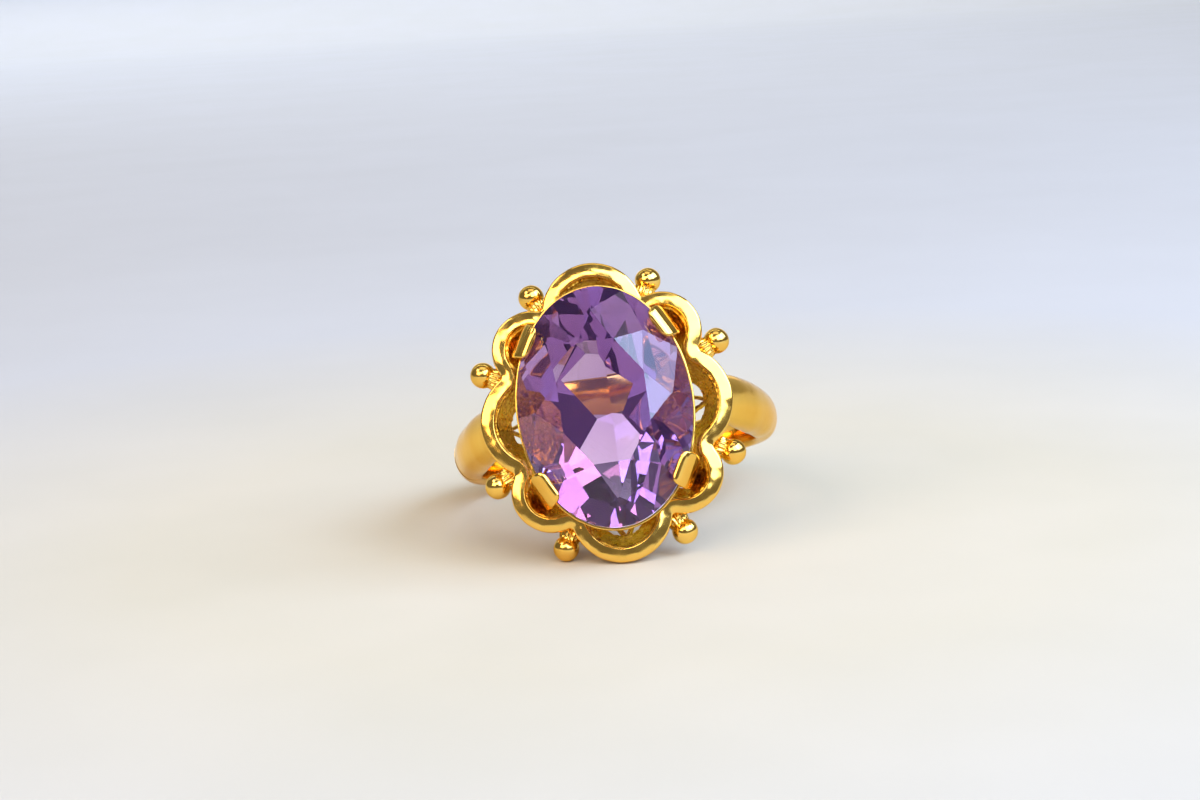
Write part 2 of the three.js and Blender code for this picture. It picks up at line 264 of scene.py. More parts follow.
def lobes():
    """(centre, radius) of the eight lobes, counter-clockwise from the right-hand side."""
    side, end = SIDE_REACH - SIDE_RADIUS, END_REACH - END_RADIUS
    x, y = CORNER_AT
    return [
        (Vector((side, 0)), SIDE_RADIUS), (Vector((x, y)), CORNER_RADIUS),
        (Vector((0, end)), END_RADIUS), (Vector((-x, y)), CORNER_RADIUS),
        (Vector((-side, 0)), SIDE_RADIUS), (Vector((-x, -y)), CORNER_RADIUS),
        (Vector((0, -end)), END_RADIUS), (Vector((x, -y)), CORNER_RADIUS),
    ]


def notch_between(first, second):
    """Centre of the circle that touches two lobes from outside."""
    (centre_a, radius_a), (centre_b, radius_b) = first, second
    reach_a, reach_b = radius_a + NOTCH_RADIUS, radius_b + NOTCH_RADIUS
    across = centre_b - centre_a
    span = across.length
    forward = (reach_a ** 2 - reach_b ** 2 + span ** 2) / (2 * span)
    out = math.sqrt(reach_a ** 2 - forward ** 2)
    across.normalize()
    return centre_a + across * forward + Vector((across.y, -across.x)) * out


def bearing(start, end):
    """Direction from one point to another, as an angle from the x axis."""
    return math.atan2(end.y - start.y, end.x - start.x)


def arc(centre, radius, start, end, steps):
    """Points of an arc, without its end point."""
    angles = [mix(start, end, i / steps) for i in range(steps)]
    return [centre + radius * Vector((math.cos(a), math.sin(a))) for a in angles]


def scallops(offset, lobe_steps=44, notch_steps=14):
    """The scalloped outline, moved outwards by offset."""
    ring, turn, points = lobes(), 2 * math.pi, []
    for i, (centre, radius) in enumerate(ring):
        after = ring[(i + 1) % len(ring)]
        last = notch_between(ring[i - 1], ring[i])
        following = notch_between(ring[i], after)
        start = bearing(centre, last)
        sweep = (bearing(centre, following) - start) % turn
        points += arc(centre, radius + offset, start, start + sweep, lobe_steps)
        enter = bearing(following, centre)
        hollow = (enter - bearing(following, after[0])) % turn
        points += arc(following, NOTCH_RADIUS - offset, enter, enter - hollow, notch_steps)
    return points


def oval(half_width, half_length, steps=256):
    """A function that gives an oval outline, moved outwards by offset."""
    def outline(offset):
        points = []
        for i in range(steps):
            angle = 2 * math.pi * i / steps
            c, s = math.cos(angle), math.sin(angle)
            normal = Vector((c / half_width, s / half_length)).normalized()
            points.append(Vector((half_width * c, half_length * s)) + normal * offset)
        return points
    return outline


def hoop(name, outline, profile):
    """Sweeps a closed profile of (offset, height) points around an outline."""
    tracks = {offset: outline(offset) for offset in {point[0] for point in profile}}
    stations = len(next(iter(tracks.values())))
    points = []
    for station in range(stations):
        for offset, height in profile:
            at = tracks[offset][station]
            points.append((at.x, at.y, height))
    return mesh_of(name, points, quads(stations, len(profile), True, True))


# ---------------------------------------------------------------- materials

class Shader:
    """A material with a Principled shader, and short calls to add and join nodes."""

    def __init__(self, name):
        self.material = bpy.data.materials.new(name)
        self.material.use_nodes = True
        self.tree = self.material.node_tree
        self.bsdf = self.tree.nodes["Principled BSDF"]
        self.output = self.tree.nodes["Material Output"]
        self.coordinates = self.add("ShaderNodeTexCoord").outputs["Object"]

    def add(self, kind, **settings):
        node = self.tree.nodes.new(kind)
        for key, value in settings.items():
            setattr(node, key, value)
        return node

    def join(self, source, target):
        self.tree.links.new(source, target)

    def mapping(self, scale):
        node = self.add("ShaderNodeMapping")
        node.inputs["Scale"].default_value = scale
        self.join(self.coordinates, node.inputs["Vector"])
        return node.outputs["Vector"]

    def noise(self, scale, detail=4, roughness=0.6, vector=None):
        node = self.add("ShaderNodeTexNoise")
        node.inputs["Scale"].default_value = scale
        node.inputs["Detail"].default_value = detail
        node.inputs["Roughness"].default_value = roughness
        self.join(vector or self.coordinates, node.inputs["Vector"])
        return node.outputs["Fac"]

    def cells(self, scale):
        node = self.add("ShaderNodeTexVoronoi", feature="SMOOTH_F1")
        node.inputs["Scale"].default_value = scale
        node.inputs["Smoothness"].default_value = 0.6
        self.join(self.coordinates, node.inputs["Vector"])
        return node.outputs["Distance"]

    def ramp(self, source, stops):
        """Colour ramp between two stops of (position, colour)."""
        node = self.add("ShaderNodeValToRGB")
        for element, (position, color) in zip(node.color_ramp.elements, stops):
            element.position = position
            element.color = (*color, 1)
        self.join(source, node.inputs["Fac"])
        return node.outputs["Color"]

    def spread(self, source, low, high, start=0.3, end=0.7):
        """Maps start to end of a value on to low to high."""
        node = self.add("ShaderNodeMapRange")
        node.inputs["From Min"].default_value = start
        node.inputs["From Max"].default_value = end
        node.inputs["To Min"].default_value = low
        node.inputs["To Max"].default_value = high
        self.join(source, node.inputs["Value"])
        return node.outputs["Result"]

    def blend(self, kind, factor, first, second):
        """Mixes two colours by a number or a socket."""
        node = self.add("ShaderNodeMix", data_type="RGBA", blend_type=kind)
        if isinstance(factor, float):
            node.inputs["Factor"].default_value = factor
        else:
            self.join(factor, node.inputs["Factor"])
        self.join(first, node.inputs["A"])
        self.join(second, node.inputs["B"])
        return node.outputs["Result"]

    def bump(self, height, strength, distance, normal=None):
        node = self.add("ShaderNodeBump")
        node.inputs["Strength"].default_value = strength
        node.inputs["Distance"].default_value = distance
        self.join(height, node.inputs["Height"])
        if normal:
            self.join(normal, node.inputs["Normal"])
        return node.outputs["Normal"]


# In the materials, noise scales are in bumps per metre and bump distances in metres.
AMETHYST_IOR = 1.545


def polished_gold():
    """Hand-polished gold: soft waves, hairline scratches and small changes of alloy colour."""
    shader = Shader("polished_gold")
    bsdf = shader.bsdf.inputs
    bsdf["Metallic"].default_value = 1.0
    bsdf["Specular Tint"].default_value = (1.0, 0.84, 0.52, 1)
    cloud = shader.noise(260, detail=3)
    color = shader.ramp(cloud, [(0.3, (0.90, 0.51, 0.09)), (0.7, (0.98, 0.62, 0.135))])
    shader.join(color, bsdf["Base Color"])
    hair = shader.noise(1.0, detail=2, vector=shader.mapping((900, 14000, 2600)))
    fine = shader.noise(5200, detail=3)
    shader.join(shader.spread(shader.noise(1400, detail=4), 0.07, 0.2), bsdf["Roughness"])
    waves = shader.bump(shader.noise(900, detail=2), 0.3, 0.00003)
    scratches = shader.bump(hair, 0.12, 0.000006, waves)
    shader.join(shader.bump(fine, 0.1, 0.000004, scratches), bsdf["Normal"])
    return shader.material


def cast_gold():
    """Sand-cast gold: granular and less bright, with painted shade that darkens the pits between
    the grains.
    """
    shader = Shader("cast_gold")
    bsdf = shader.bsdf.inputs
    bsdf["Metallic"].default_value = 1.0
    bsdf["Specular Tint"].default_value = (1.0, 0.76, 0.34, 1)
    grains = shader.cells(7200)
    cloud = shader.noise(2100, detail=5)
    base = shader.ramp(cloud, [(0.3, (0.76, 0.44, 0.05)), (0.7, (0.96, 0.62, 0.10))])
    # Painted shade: the base colour is darkened in the pits between the grains.
    painted_pit_shade = shader.ramp(grains, [(0.1, (1.0, 1.0, 1.0)), (0.75, (0.64, 0.52, 0.3))])
    shader.join(shader.blend("MULTIPLY", 0.8, base, painted_pit_shade), bsdf["Base Color"])
    shader.join(shader.spread(cloud, 0.2, 0.4), bsdf["Roughness"])
    coarse = shader.bump(shader.noise(3400, detail=4), 0.55, 0.00005)
    shader.join(shader.bump(grains, 0.5, 0.00004, coarse), bsdf["Normal"])
    return shader.material


def stone_facets():
    """Polished amethyst, with the faint colour zoning of the natural crystal."""
    shader = Shader("amethyst_facets")
    bsdf = shader.bsdf.inputs
    bsdf["Transmission Weight"].default_value = 1.0
    bsdf["IOR"].default_value = AMETHYST_IOR
    bsdf["Roughness"].default_value = 0.0
    zones = shader.noise(150, detail=2)
    color = shader.ramp(zones, [(0.35, (0.92, 0.82, 0.98)), (0.65, (1.0, 0.88, 0.93))])
    shader.join(color, bsdf["Base Color"])
    veil = shader.add("ShaderNodeBsdfDiffuse")
    veil.inputs["Color"].default_value = (0.45, 0.15, 0.60, 1)
    surface = shader.add("ShaderNodeMixShader")
    surface.inputs["Fac"].default_value = 0.035
    shader.join(shader.bsdf.outputs["BSDF"], surface.inputs[1])
    shader.join(veil.outputs["BSDF"], surface.inputs[2])
    shader.join(surface.outputs["Shader"], shader.output.inputs["Surface"])
    depth = shader.add("ShaderNodeVolumeAbsorption")
    depth.inputs["Color"].default_value = (0.48, 0.19, 0.62, 1)
    depth.inputs["Density"].default_value = 150.0
    shader.join(depth.outputs["Volume"], shader.output.inputs["Volume"])
    return shader.material


def stone_girdle():
    """The stone's edge: ground, not polished."""
    shader = Shader("amethyst_girdle")
    bsdf = shader.bsdf.inputs
    bsdf["Transmission Weight"].default_value = 1.0
    bsdf["IOR"].default_value = AMETHYST_IOR
    grind = shader.noise(6000, detail=3)
    color = shader.ramp(grind, [(0.3, (0.70, 0.60, 0.80)), (0.7, (0.85, 0.75, 0.92))])
    shader.join(color, bsdf["Base Color"])
    shader.join(shader.spread(grind, 0.3, 0.5), bsdf["Roughness"])
    shader.join(shader.bump(grind, 0.4, 0.00001), bsdf["Normal"])
    return shader.material


POLISHED = polished_gold()
CAST = cast_gold()
FACETS = stone_facets()
GIRDLE = stone_girdle()


# ---------------------------------------------------------------- the stone

# Reach of the table's corners and of the star facets' tips, as shares of the stone's radius, and
# the most by which a facet's normal is off.
TABLE_SHARE = 0.54
STAR_SHARE = 0.78
CUTTING_ERROR = 0.004

# The lower half: an off-centre point in mm, flat facets around it as (bearing, slope), and a
# steeper tier that rises to the girdle as (place on the girdle, slope), all in degrees. The flat
# facets and the tier are cut on the right and mirrored to the left; the two side facets are not.
CULET = (0.28, -0.1)
FLAT_FACETS = [(28, 34), (-52, 31)]
SIDE_FACETS = [(0, 49), (180, 46)]
TIER_FACETS = [(90, 48), (67.5, 45.5), (45, 46), (22.5, 54), (-22.5, 54), (-45, 48), (-67.5, 48),
               (-90, 50)]

# A face of the cut stone whose normal leans less than this from the horizontal is girdle.
GIRDLE_LEAN = 0.02


def crown_planes():
    """(point, outward normal) of the upper facets, on a stone of radius 1 with heights in mm."""
    edge = GIRDLE_THICKNESS / 2
    half = math.pi / 8

    def at(radius, angle, height):
        return Vector((radius * math.cos(angle), radius * math.sin(angle), height))

    def through(a, b, c):
        normal = (b - a).cross(c - a).normalized()
        if normal.z < 0:
            normal.negate()
        return (a + b + c) / 3, normal

    planes = [(Vector((0, 0, CROWN)), Vector((0, 0, 1)))]
    crown_fall = (CROWN - edge) / (1 - TABLE_SHARE)
    star_height = CROWN - crown_fall * (STAR_SHARE * math.cos(half) - TABLE_SHARE)
    for i in range(8):
        main, star = half + i * 2 * half, i * 2 * half
        tip = at(STAR_SHARE, star, star_height)
        sideways = Vector((-math.sin(main), math.cos(main), 0))
        corner = at(TABLE_SHARE, main, CROWN)
        planes.append(through(corner, at(1, main, edge), corner + sideways))
        planes.append(through(at(TABLE_SHARE, star - half, CROWN),
                              at(TABLE_SHARE, star + half, CROWN), tip))
        for way in (-1, 1):
            planes.append(through(tip, at(1, star, edge), at(1, star + way * half, edge)))
    return planes


def stretched(point, normal):
    """A plane of the round stone, moved to where it lies on the oval."""
    return (Vector((point.x * HALF_WIDTH, point.y * HALF_LENGTH, point.z)),
            Vector((normal.x / HALF_WIDTH, normal.y / HALF_LENGTH, normal.z)).normalized())


def below(heading, slope):
    """Normal of a lower facet that faces a heading (x, y) and rises at a slope."""
    heading = Vector(heading).normalized() * math.sin(slope)
    return Vector((heading.x, heading.y, -math.cos(slope)))


def pavilion_planes():
    """(point, outward normal) of the lower facets, in mm from the middle of the girdle."""
    planes = []
    point = Vector((*CULET, -PAVILION))
    for spot, slope in FLAT_FACETS:
        angle = math.radians(spot)
        for way in (-1, 1):
            heading = (way * math.cos(angle), math.sin(angle))
            planes.append((point, below(heading, math.radians(slope))))
    tier = SIDE_FACETS + TIER_FACETS + [(180 - spot, slope) for spot, slope in TIER_FACETS]
    for spot, slope in tier:
        c, s = math.cos(math.radians(spot)), math.sin(math.radians(spot))
        on_girdle = Vector((HALF_WIDTH * c, HALF_LENGTH * s, -GIRDLE_THICKNESS / 2))
        planes.append((on_girdle, below((c / HALF_WIDTH, s / HALF_LENGTH), math.radians(slope))))
    return planes


def make_stone():
    """Cuts an oval blank by every facet plane."""
    rng = np.random.default_rng(5)
    blank = bmesh.new()
    bmesh.ops.create_cone(blank, cap_ends=True, segments=96, radius1=1, radius2=1,
                          depth=2 * (PAVILION + CROWN))
    for vertex in blank.verts:
        vertex.co.x *= HALF_WIDTH
        vertex.co.y *= HALF_LENGTH
    for point, normal in [stretched(*plane) for plane in crown_planes()] + pavilion_planes():
        error = Vector(rng.uniform(-CUTTING_ERROR, CUTTING_ERROR, 3))
        geometry = blank.verts[:] + blank.edges[:] + blank.faces[:]
        result = bmesh.ops.bisect_plane(blank, geom=geometry, plane_co=point,
                                        plane_no=(normal + error).normalized(),
                                        dist=1e-6, clear_outer=True)
        rim = [g for g in result["geom_cut"] if isinstance(g, bmesh.types.BMEdge)]
        if rim:
            bmesh.ops.edgeloop_fill(blank, edges=rim)
    bmesh.ops.remove_doubles(blank, verts=blank.verts, dist=5e-4)
    bmesh.ops.recalc_face_normals(blank, faces=blank.faces)
    for face in blank.faces:
        face.material_index = 1 if abs(face.normal.z) < GIRDLE_LEAN else 0
        face.smooth = False
    for vertex in blank.verts:
        vertex.co.z += GIRDLE_HEIGHT
    piece("oval_stone", blank, [FACETS, GIRDLE], ["amethyst"], None)


# ---------------------------------------------------------------- the basket

def make_seat():
    """Seat ring under the girdle; its burnished lip shows beside the stone."""
    thickness, foot, bevel, lip, ledge, softness = 0.5, 0.25, 0.26, 0.35, 0.52, 0.07
    outer = SEAT_HIGH[0] - HALF_WIDTH
    inner = outer - thickness
    top, bottom = SEAT_HIGH[2], SEAT_LOW[2]
    corners = [(inner + foot, bottom), (outer, bottom + bevel), (outer, top), (inner + lip, top),
               (inner, top - ledge), (inner, bottom)]
    bm = hoop("stone_seat_ring", oval(HALF_WIDTH, HALF_LENGTH), rounded(corners, softness))
    roughen(bm, amplitude=0.02, scale=1.4, seed=1)
    piece("stone_seat_ring", bm, [POLISHED], ["stone_seat"])


def make_rim():
    """Polished rim: its face slopes gently outwards and is worn round at both edges."""
    cant, crown, edge_radius, crown_radius = 0.17, 0.045, 0.13, 0.34
    half = RIM_WIDTH / 2
    top, bottom = RIM_HIGH[2], RIM_LOW[2]
    corners = [(-half, bottom), (half, bottom), (half, top - cant), (0, top - cant / 2 + crown),
               (-half, top)]
    radii = [edge_radius, edge_radius, edge_radius, crown_radius, edge_radius]
    bm = hoop("rim_polished", scallops, densify(rounded(corners, radii, 7), 0.12))
    roughen(bm, amplitude=0.035, scale=0.55, seed=2)
    roughen(bm, amplitude=0.012, scale=2.2, seed=3)
    piece("rim_polished", bm, [POLISHED], ["scalloped_rim"])


def make_wall():
    """Sand-cast wall under the rim: grainy flanks and a rubbed top edge."""
    half, taper, softness = 0.275, 0.75, 0.1
    upper = -0.255
    lower = upper - taper
    top, bottom = WALL_HIGH[2], WALL_LOW[2]
    corners = [(lower - half, bottom), (lower + half, bottom), (upper + half, top),
               (upper - half, top)]
    bm = hoop("wall_cast", lambda offset: scallops(offset, 74, 22),
              densify(rounded(corners, softness), 0.07))

    def rubbed(co):
        """Grain that is left at a place: less on the top 0.3 mm."""
        return 1 - 0.7 * smoothstep((co.z - top + 0.3) / 0.25)

    roughen(bm, amplitude=0.05, scale=3.1, seed=4)
    roughen(bm, amplitude=0.045, scale=8.0, seed=5, where=rubbed)
    piece("wall_cast", bm, [CAST], ["basket_wall"])


def point_along(outline, share):
    """Point a share of the way round a closed outline, by length."""
    lengths = [(outline[(i + 1) % len(outline)] - p).length for i, p in enumerate(outline)]
    left, i = share * sum(lengths), 0
    while left > lengths[i]:
        left -= lengths[i]
        i += 1
    return outline[i].lerp(outline[(i + 1) % len(outline)], left / lengths[i])


def make_gallery():
    """Zigzag strip between the wall's foot and the rail, which leaves a row of triangles open."""
    wall_offset, rail_inset, clearance = -1.0, 0.4, 0.1
    half, thickness, softness, steps = 0.27, 0.19, 0.1, 10
    foot = scallops(wall_offset)
    rail_width, rail_length = RAIL_HIGH[0] - rail_inset, RAIL_HIGH[1] - rail_inset
    high, low = WALL_LOW[2] - clearance, RAIL_HIGH[2] + clearance
    corners, ups = [], []
    for i in range(2 * FRET_POINTS):
        outer = point_along(foot, i / (2 * FRET_POINTS))
        angle = math.atan2(outer.y / rail_length, outer.x / rail_width)
        inner = Vector((rail_width * math.cos(angle), rail_length * math.sin(angle)))
        corners.append(Vector((inner.x, inner.y, low)) if i % 2
                       else Vector((outer.x, outer.y, high)))
        ups.append(Vector((outer.x - inner.x, outer.y - inner.y, high - low)).normalized())
    section = densify(rounded([(-half, -thickness), (half, -thickness), (half, thickness),
                               (-half, thickness)], softness, 3), 0.14)
    points = []
    for i, corner in enumerate(corners):
        after = corners[(i + 1) % len(corners)]
        for step in range(steps):
            centre = corner.lerp(after, step / steps)
            up = ups[i].lerp(ups[(i + 1) % len(ups)], step / steps).normalized()
            along = Vector((-centre.y, centre.x, 0)).normalized()
            across = up.cross(along).normalized()
            points += [centre + up * s.x + across * s.y for s in section]
    bm = mesh_of("gallery_cast", points, quads(len(corners) * steps, len(section), True, True))
    roughen(bm, amplitude=0.05, scale=3.0, seed=6)
    roughen(bm, amplitude=0.03, scale=7.5, seed=7)
    piece("gallery_cast", bm, [CAST], ["pierced_gallery"])


def make_rail():
    """Rounded rail at the basket's foot."""
    half = RAIL_HIGH[0] - RAIL_MIDDLE
    low, high = RAIL_LOW[2], RAIL_HIGH[2]
    middle = (low + high) / 2
    steps, squareness = 28, 0.75
    profile = []
    for i in range(steps):
        c, s = squared(2 * math.pi * i / steps, squareness)
        profile.append((round(half * c, 9), middle + (high - low) / 2 * s))
    outline = oval(RAIL_HIGH[0] - half, RAIL_HIGH[1] - half)
    bm = hoop("rail_cast", outline, profile)
    roughen(bm, amplitude=0.04, scale=2.0, seed=8)
    roughen(bm, amplitude=0.015, scale=7.0, seed=9)
    piece("rail_cast", bm, [CAST], ["base_rail"])


# ---------------------------------------------------------------- the claws

# Foot to tip: inner reach and height, outer reach and height, all from the girdle, and the
# share of the full width. The crease lies where the leg turns on to the stone.
CLAW_STATIONS = [
    (0.30, -3.90, 0.72, -3.90, 0.48),
    (0.27, -2.60, 0.72, -2.60, 0.57),
    (0.22, -1.20, 0.70, -1.10, 0.86),
    (0.16, -0.20, 0.56, -0.30, 0.96),
    (0.10, 0.30, 0.40, 0.40, 0.98),
    (-0.10, 0.52, 0.08, 0.86, 0.96),
    (-0.25, 0.65, -0.15, 1.00, 0.92),
    (-0.37, 0.75, -0.30, 1.04, 0.83),
    (-0.46, 0.82, -0.40, 1.01, 0.65),
    (-0.50, 0.87, -0.48, 0.94, 0.40),
]


def make_claw(name, sign_x, sign_y, seed):
    """Leg that widens to the girdle and folds over the crown in a crease, its tip filed round."""
    at = Vector((sign_x * HALF_WIDTH * math.cos(CLAW_ANGLE),
                 sign_y * HALF_LENGTH * math.sin(CLAW_ANGLE), GIRDLE_HEIGHT))
    out = Vector((sign_x * math.cos(CLAW_ANGLE) / HALF_WIDTH,
                  sign_y * math.sin(CLAW_ANGLE) / HALF_LENGTH, 0)).normalized()
    along = Vector((-out.y, out.x, 0))
    up = Vector((0, 0, 1))
    ring, between, squareness = 36, 4, 0.42
    stations = []
    for lower, upper in zip(CLAW_STATIONS, CLAW_STATIONS[1:]):
        for step in range(between):
            stations.append([mix(a, b, step / between) for a, b in zip(lower, upper)])
    stations.append(CLAW_STATIONS[-1])
    sections = []
    for inner_reach, inner_rise, outer_reach, outer_rise, share in stations:
        inner = at + out * inner_reach + up * inner_rise
        outer = at + out * outer_reach + up * outer_rise
        section = []
        for j in range(ring):
            c, s = squared(2 * math.pi * j / ring, squareness)
            side = along * (c * share * CLAW_HALF_WIDTH)
            section.append(inner.lerp(outer, 0.5 + 0.5 * s) + side)
        sections.append(section)
    bm = sweep(name, sections)
    roughen(bm, amplitude=0.035, scale=1.4, seed=seed)
    piece(name, bm, [POLISHED], [name.replace("gold_", "")], math.radians(50))


# ---------------------------------------------------------------- the beads

def bead_centre(node):
    """Middle of a bead's ball, one radius in from its outermost point, and its way out."""
    points = local_points(node)
    out = (points.min(0) + points.max(0)) / 2
    out[2] = 0
    out /= np.linalg.norm(out)
    tip = points[np.argmax(points @ out)]
    return Vector(tip - out * BEAD_RADIUS), Vector(out)


def make_bead(node, seed):
    """Ball on a milled collar and a stem, with solder grains at its foot."""
    flutes, flute_share, segments, ball_rows, collar_rows = 16, 0.075, 96, 26, 6
    stem_foot, stem_top, stem_foot_radius, stem_top_radius = -1.5, -1.16, 0.4, 0.42
    collar_low, collar_high, collar_radius, collar_swell = -1.14, -0.66, 0.6, 0.05
    grains, grain_radius, grain_depth, grain_reach = 5, (0.09, 0.14), (1.08, 1.25), (0.48, 0.6)
    centre, out = bead_centre(node)
    side, up = Vector((-out.y, out.x, 0)), Vector((0, 0, 1))
    rng = np.random.default_rng(40 + seed)

    # Foot to ball: radius, height from the ball's middle, and 1 where the row is fluted.
    profile = [(0.0, stem_foot, 0), (stem_foot_radius, stem_foot, 0),
               (stem_top_radius, stem_top, 0)]
    for i in range(collar_rows + 1):
        share = i / collar_rows
        profile.append((collar_radius + collar_swell * math.sin(math.pi * share),
                        mix(collar_low, collar_high, share), 1))
    start = math.asin(collar_radius / BEAD_RADIUS)
    for i in range(ball_rows + 1):
        angle = mix(start, math.pi, i / ball_rows)
        profile.append((BEAD_RADIUS * math.sin(angle), -BEAD_RADIUS * math.cos(angle), 0))

    points = []
    for radius, height, fluted in profile:
        for j in range(segments):
            angle = 2 * math.pi * j / segments
            swell = 1 + fluted * flute_share * math.cos(flutes * angle)
            spoke = side * math.cos(angle) + up * math.sin(angle)
            points.append(centre + out * height + spoke * radius * swell)
    bm = mesh_of("bead", points, quads(len(profile), segments, False, True))
    for _ in range(grains):
        angle, size = rng.uniform(0, 2 * math.pi), rng.uniform(*grain_radius)
        spoke = side * math.cos(angle) + up * math.sin(angle)
        at = centre - out * rng.uniform(*grain_depth) + spoke * rng.uniform(*grain_reach)
        grain = bmesh.ops.create_icosphere(bm, subdivisions=2, radius=size)
        for vertex in grain["verts"]:
            vertex.co += at
    bmesh.ops.remove_doubles(bm, verts=bm.verts, dist=1e-4)
    roughen(bm, amplitude=0.02, scale=1.5, seed=seed)
    piece("gold_" + node, bm, [POLISHED], [node], math.radians(60))


# ---------------------------------------------------------------- the band

def half_round(steps=14):
    """Section from the finger side out: (share of thickness, share of width)."""
    flank = 0.3
    edge = [(0.0, 0.40), (0.03, 0.46), (0.12, 0.5), (0.22, 0.5), (flank, 0.5)]
    for i in range(1, steps):
        angle = math.pi / 2 * i / steps
        edge.append((flank + (1 - flank) * math.sin(angle), 0.5 * math.cos(angle)))
    return edge + [(1.0, 0.0)] + [(share, -half) for share, half in reversed(edge)]


SECTION = half_round()


def band_section(inner, outer, width):
    """The section laid between an inner and an outer point (x, z)."""
    return [Vector((mix(inner[0], outer[0], share), half * width, mix(inner[1], outer[1], share)))
            for share, half in SECTION]


def around(angle, radius):
    """Point (x, z) of a circle round the finger's axis; the angle starts at the band's back."""
    return np.array([radius * math.sin(angle), -radius * math.cos(angle)])


def make_band():
    """The band behind the finger: half round, narrowest and thinnest at the back."""
    steps = 150
    sections = []
    for i in range(steps + 1):
        angle = mix(-BAND_SWEEP, BAND_SWEEP, i / steps)
        share = math.sin(min(abs(angle), math.pi / 2)) ** 2
        width = mix(BAND_BACK[0], BAND_SIDE[0], share)
        thickness = mix(BAND_BACK[1], BAND_SIDE[1], share)
        sections.append(band_section(around(angle, FINGER_RADIUS),
                                     around(angle, FINGER_RADIUS + thickness), width))
    bm = sweep("band_polished", sections)
    roughen(bm, amplitude=0.05, scale=0.35, seed=30)
    piece("band_polished", bm, [POLISHED], ["band"], math.radians(60))


def bezier(a, b, c, d, share):
    rest = 1 - share
    return a * rest ** 3 + b * 3 * rest ** 2 * share + c * 3 * rest * share ** 2 + d * share ** 3


def make_shoulder(name, sign, seed):
    """Shoulder: swells from the band, leaves the finger's circle and leans on the wall."""
    heading = np.array([math.cos(BAND_SWEEP), math.sin(BAND_SWEEP)]) * SHOULDER_HANDLE
    inner = around(BAND_SWEEP, FINGER_RADIUS)
    outer = around(BAND_SWEEP, FINGER_RADIUS + BAND_SIDE[1])
    inside = (inner, inner + heading, *map(np.array, SHOULDER_INSIDE))
    outside = (outer, outer + heading, *map(np.array, SHOULDER_OUTSIDE))
    steps = 70
    turn = np.array([sign, 1])
    sections = []
    for i in range(steps + 1):
        share = i / steps
        if share < SHOULDER_WIDEST_AT:
            swell = math.sin(share / SHOULDER_WIDEST_AT * math.pi / 2)
            width = mix(BAND_SIDE[0], SHOULDER_WIDEST, swell)
        else:
            past = (share - SHOULDER_WIDEST_AT) / (1 - SHOULDER_WIDEST_AT)
            width = mix(SHOULDER_WIDEST, SHOULDER_END, past ** 2)
        sections.append(band_section(bezier(*inside, share) * turn,
                                     bezier(*outside, share) * turn, width))
    bm = sweep(name, sections)
    roughen(bm, amplitude=0.05, scale=0.4, seed=seed)
    piece(name, bm, [POLISHED], [name.replace("_polished", "")],
          math.radians(60))


# ---------------------------------------------------------------- floor, light and camera

# Directions are (azimuth to the right, elevation) in degrees, and distances are in metres.
HEAD = Vector(place([(0, 0, GIRDLE_HEIGHT)])[0])
CAMERA_DIRECTION = (2.55, 11.48)
CAMERA_ROLL = math.radians(-3.06)
CAMERA_DISTANCE = 0.1261
CAMERA_SHIFT = Vector((-0.28, 0.355, 0)) * MM
SENSOR_WIDTH = 36
FRAME_WIDTH = 68.7482 * MM


def make_floor():
    """Pale plaster floor that curves up far behind the ring."""
    front, depth, bend, height, half = -1.2, 0.9, 0.35, 0.9, 1.6
    line = [(front, 0.0), (depth, 0.0)]
    line += [(depth + bend * math.sin(a), bend - bend * math.cos(a))
             for a in np.linspace(0, math.pi / 2, 20)[1:]]
    line.append((depth + bend, height))
    points = [(x, y, z) for y, z in line for x in (-half, half)]
    mesh = bpy.data.meshes.new("floor")
    mesh.from_pydata(points, [], [(2 * i, 2 * i + 1, 2 * i + 3, 2 * i + 2)
                                  for i in range(len(line) - 1)])
    for polygon in mesh.polygons:
        polygon.use_smooth = True
    mesh.materials.append(pale_plaster())
    floor = bpy.data.objects.new("floor", mesh)
    bpy.context.scene.collection.objects.link(floor)


def pale_plaster():
    """Plaster: warm around the ring, cooler outside that, and paler towards the back, where
    painted light makes up for the lamps' light falling off.
    """
    warm_edge, painted_light_edge = (0.03, 0.08), (0.15, 0.9)
    shader = Shader("pale_plaster")
    bsdf = shader.bsdf.inputs
    cloud = shader.noise(30, detail=3)
    near = shader.ramp(cloud, [(0.3, (0.59, 0.52, 0.37)), (0.7, (0.64, 0.56, 0.41))])
    far = shader.ramp(cloud, [(0.3, (0.55, 0.525, 0.48)), (0.7, (0.57, 0.545, 0.50))])
    # Painted light: the far floor and the wall are paler to stand in for light that falls off
    # with distance.
    back = shader.ramp(cloud, [(0.3, (0.80, 0.81, 0.80)), (0.7, (0.82, 0.83, 0.84))])
    away = shader.add("ShaderNodeVectorMath", operation="LENGTH")
    shader.join(shader.coordinates, away.inputs[0])
    fade = shader.spread(away.outputs["Value"], 0.0, 1.0, *warm_edge)
    painted_light_rise = shader.spread(away.outputs["Value"], 0.0, 1.0, *painted_light_edge)
    ground = shader.blend("MIX", fade, near, far)
    shader.join(shader.blend("MIX", painted_light_rise, ground, back), bsdf["Base Color"])
    bsdf["Roughness"].default_value = 0.75
    shader.join(shader.bump(shader.noise(900, detail=4), 0.15, 0.0001), bsdf["Normal"])
    return shader.material


def aim(target, direction, distance):
    """World place in a direction from the target, and the unit vector that points to it."""
    azimuth, elevation = (math.radians(a) for a in direction)
    away = Vector((math.sin(azimuth) * math.cos(elevation),
                   -math.cos(azimuth) * math.cos(elevation), math.sin(elevation)))
    return target + away * distance, away


